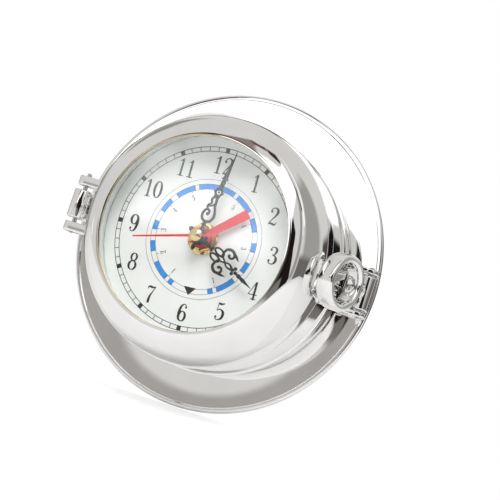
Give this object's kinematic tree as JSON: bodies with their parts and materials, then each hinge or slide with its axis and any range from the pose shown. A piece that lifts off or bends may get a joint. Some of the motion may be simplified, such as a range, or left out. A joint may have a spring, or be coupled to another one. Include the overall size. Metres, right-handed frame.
{
  "type": "ships deck clock",
  "caption": "Porthole-style ship's clock with wall flange, hinged glazed bezel, swing-bolt dog with hoop nut, white time and tide dial, ornate hands and quartz movement.",
  "frame": {"origin": "centre of the back plate's rear face, in the plane that lies on the wall", "axes": "+X towards 3 o'clock, +Z towards 12 o'clock, +Y into the wall, so the dial looks along -Y"},
  "size_m": [0.1458, 0.049, 0.145],
  "materials": {
    "chrome": "mirror polished chrome plate",
    "silver_wall": "satin silver",
    "brass": "polished",
    "steel": "brushed",
    "copper": "enamelled copper wire",
    "clear_glass": "polished",
    "dial_white": "satin white with printed scales",
    "hand_black": "semi-gloss black",
    "hand_red": "semi-gloss red",
    "rubber": "matt",
    "plastic_black": "moulded",
    "plastic_white": "moulded",
    "battery_sleeve": "gloss sleeve",
    "circuit_green": "solder resist",
    "magnet": "ground"
  },
  "bodies": {
    "case": {"case_body": "chrome", "hinge_bracket": "chrome", "hinge_pin": "steel", "dog_bracket": "chrome", "dog_pivot_pin": "steel", "dial": "dial_white", "dial_surround_ring": "silver_wall", "back_plate": "brass", "back_screw_1": "steel", "back_screw_2": "steel", "back_screw_3": "steel", "movement_front_shell": "plastic_black", "movement_rear_shell": "plastic_black", "train_bridge": "plastic_white", "stator_plate": "steel", "coil_bobbin": "plastic_white", "coil_winding": "copper", "circuit_board": "circuit_green", "quartz_can": "steel", "battery_cell": "battery_sleeve", "battery_contact_positive": "steel", "battery_contact_negative": "steel", "movement_cushion": "rubber", "dial_washer": "brass", "centre_nut": "brass"},
    "bezel": {"bezel": "chrome", "bezel_lug_upper": "chrome", "bezel_lug_lower": "chrome", "glass_seat_ring": "brass", "glass_lens": "clear_glass", "glass_gasket": "rubber", "glass_retaining_ring": "brass"},
    "swing_bolt": {"swing_bolt": "chrome"},
    "hoop_nut": {"hoop_nut": "chrome"},
    "second_hand": {"second_wheel": "plastic_white", "second_hand": "hand_red", "second_hand_cap": "brass"},
    "rotor": {"rotor": "magnet"},
    "intermediate_wheel": {"intermediate_wheel": "plastic_white"},
    "third_wheel": {"third_wheel": "plastic_white"},
    "minute_wheel": {"minute_wheel": "plastic_white"},
    "minute_hand": {"minute_cannon": "brass", "minute_hand": "hand_black"},
    "motion_wheel": {"motion_wheel": "plastic_white"},
    "hour_hand": {"hour_wheel": "plastic_white", "hour_hand": "hand_black"},
    "tide_idler": {"tide_idler": "plastic_white"},
    "tide_drive_wheel": {"tide_drive_wheel": "plastic_white"},
    "time_set_knob": {"time_set_knob": "plastic_white"},
    "tide_hand": {"tide_wheel": "plastic_white", "tide_hand": "hand_red"},
    "tide_set_knob": {"tide_set_knob": "plastic_white"}
  },
  "joints": [
    {"name": "bezel_hinge", "type": "hinge", "parent": "case", "child": "bezel", "pos_m": [-0.0675, -0.02, 0], "axis": [0, 0, -1], "range_deg": [0, 105]},
    {"name": "dog_swing", "type": "hinge", "parent": "case", "child": "swing_bolt", "pos_m": [0.0695, -0.008, 0], "axis": [0, 0, 1], "range_deg": [0, 110]},
    {"name": "hoop_nut_turn", "type": "hinge", "parent": "swing_bolt", "child": "hoop_nut", "pos_m": [0.0695, -0.008, 0], "axis": [-0.2924, -0.9563, 0], "range_deg": [-18, 18]},
    {"name": "second_hand_turn", "type": "hinge", "parent": "case", "child": "second_hand", "pos_m": [0, 0, 0], "axis": [0, 1, 0], "continuous": true},
    {"name": "rotor_turn", "type": "hinge", "parent": "case", "child": "rotor", "pos_m": [-0.01293, 0, 0.00491], "axis": [0, 1, 0], "continuous": true},
    {"name": "intermediate_turn", "type": "hinge", "parent": "case", "child": "intermediate_wheel", "pos_m": [-0.00655, 0, 0.00378], "axis": [0, 1, 0], "continuous": true},
    {"name": "third_wheel_turn", "type": "hinge", "parent": "case", "child": "third_wheel", "pos_m": [0, 0, 0.0102], "axis": [0, 1, 0], "continuous": true},
    {"name": "minute_wheel_turn", "type": "hinge", "parent": "case", "child": "minute_wheel", "pos_m": [0, 0, 0], "axis": [0, 1, 0], "continuous": true},
    {"name": "minute_hand_turn", "type": "hinge", "parent": "case", "child": "minute_hand", "pos_m": [0, 0, 0], "axis": [0, 1, 0], "continuous": true},
    {"name": "motion_wheel_turn", "type": "hinge", "parent": "case", "child": "motion_wheel", "pos_m": [0.011, 0, 0], "axis": [0, 1, 0], "continuous": true},
    {"name": "hour_hand_turn", "type": "hinge", "parent": "case", "child": "hour_hand", "pos_m": [0, 0, 0], "axis": [0, 1, 0], "continuous": true},
    {"name": "tide_idler_turn", "type": "hinge", "parent": "case", "child": "tide_idler", "pos_m": [-0.01052, 0, -0.00383], "axis": [0, 1, 0], "continuous": true},
    {"name": "tide_drive_turn", "type": "hinge", "parent": "case", "child": "tide_drive_wheel", "pos_m": [0, 0, 0], "axis": [0, 1, 0], "continuous": true},
    {"name": "time_set_knob_turn", "type": "hinge", "parent": "case", "child": "time_set_knob", "pos_m": [0.022, 0, 0], "axis": [0, 1, 0], "continuous": true},
    {"name": "tide_hand_turn", "type": "hinge", "parent": "case", "child": "tide_hand", "pos_m": [0, 0, 0], "axis": [0, 1, 0], "continuous": true},
    {"name": "tide_set_knob_turn", "type": "hinge", "parent": "case", "child": "tide_set_knob", "pos_m": [0.01159, 0, 0.01243], "axis": [0, 1, 0], "continuous": true}
  ],
  "couplings": [
    {"joint": "rotor_turn", "follows": "second_hand_turn", "ratio": 30},
    {"joint": "intermediate_turn", "follows": "second_hand_turn", "ratio": -6},
    {"joint": "third_wheel_turn", "follows": "second_hand_turn", "ratio": -0.125},
    {"joint": "minute_wheel_turn", "follows": "second_hand_turn", "ratio": 0.016667},
    {"joint": "motion_wheel_turn", "follows": "minute_hand_turn", "ratio": -0.33333},
    {"joint": "hour_hand_turn", "follows": "minute_hand_turn", "ratio": 0.083333},
    {"joint": "tide_idler_turn", "follows": "minute_hand_turn", "ratio": -0.39583},
    {"joint": "tide_drive_turn", "follows": "minute_hand_turn", "ratio": 0.080508},
    {"joint": "time_set_knob_turn", "follows": "minute_hand_turn", "ratio": 1},
    {"joint": "tide_set_knob_turn", "follows": "tide_hand_turn", "ratio": -2.4}
  ]
}
